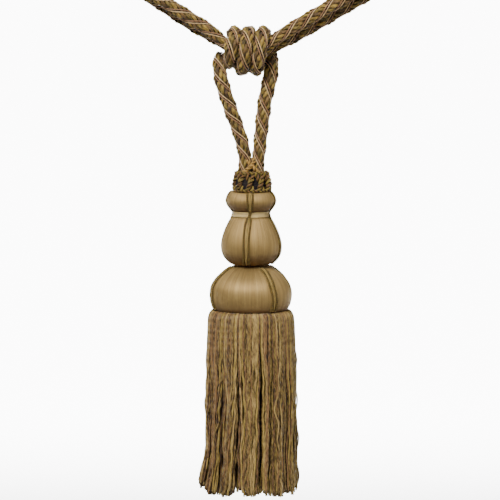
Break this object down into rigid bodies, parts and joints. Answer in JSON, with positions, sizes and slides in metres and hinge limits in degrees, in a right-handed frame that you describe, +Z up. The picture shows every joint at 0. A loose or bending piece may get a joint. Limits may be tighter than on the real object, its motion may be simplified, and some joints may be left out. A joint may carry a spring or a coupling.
{
  "type": "curtain tieback tassel",
  "caption": "Curtain tieback of doubled three-strand rope with a hook eye at each end, knotted with a tassel that has a plaited ruff, two satin-covered moulds and a long cut skirt",
  "frame": {"origin": "the inside of the left hook eye's bight, where a wall hook bears", "axes": "+Z up along the hanging tassel, +X towards the right hook eye, -Y is the front"},
  "size_m": [0.3239, 0.0715, 0.4444],
  "materials": {
    "rope": "twisted yarn, olive gold and brown with fine pale pink-cream threads",
    "whipping": "close turns of fine thread",
    "ruff_cord": "fine twisted cords in dark brown, olive and gold",
    "satin_floss": "satin floss laid lengthwise, champagne tan",
    "gimp": "dark olive-brown edge cords with a gold middle cord",
    "fringe_yarn": "soft cut yarn in gold olive, tan and brown"
  },
  "bodies": {
    "root": {"embrace_rope": "rope", "tassel_rope": "rope", "left_eye_whipping": "whipping", "right_eye_whipping": "whipping", "ruff": "ruff_cord", "vase_mould": "satin_floss", "waist_binding": "satin_floss", "dome_mould": "satin_floss", "vase_gimp_1": "gimp", "vase_gimp_2": "gimp", "vase_gimp_3": "gimp", "vase_gimp_4": "gimp", "dome_gimp_1": "gimp", "dome_gimp_2": "gimp", "dome_gimp_3": "gimp", "dome_gimp_4": "gimp", "skirt": "fringe_yarn"}
  },
  "joints": []
}
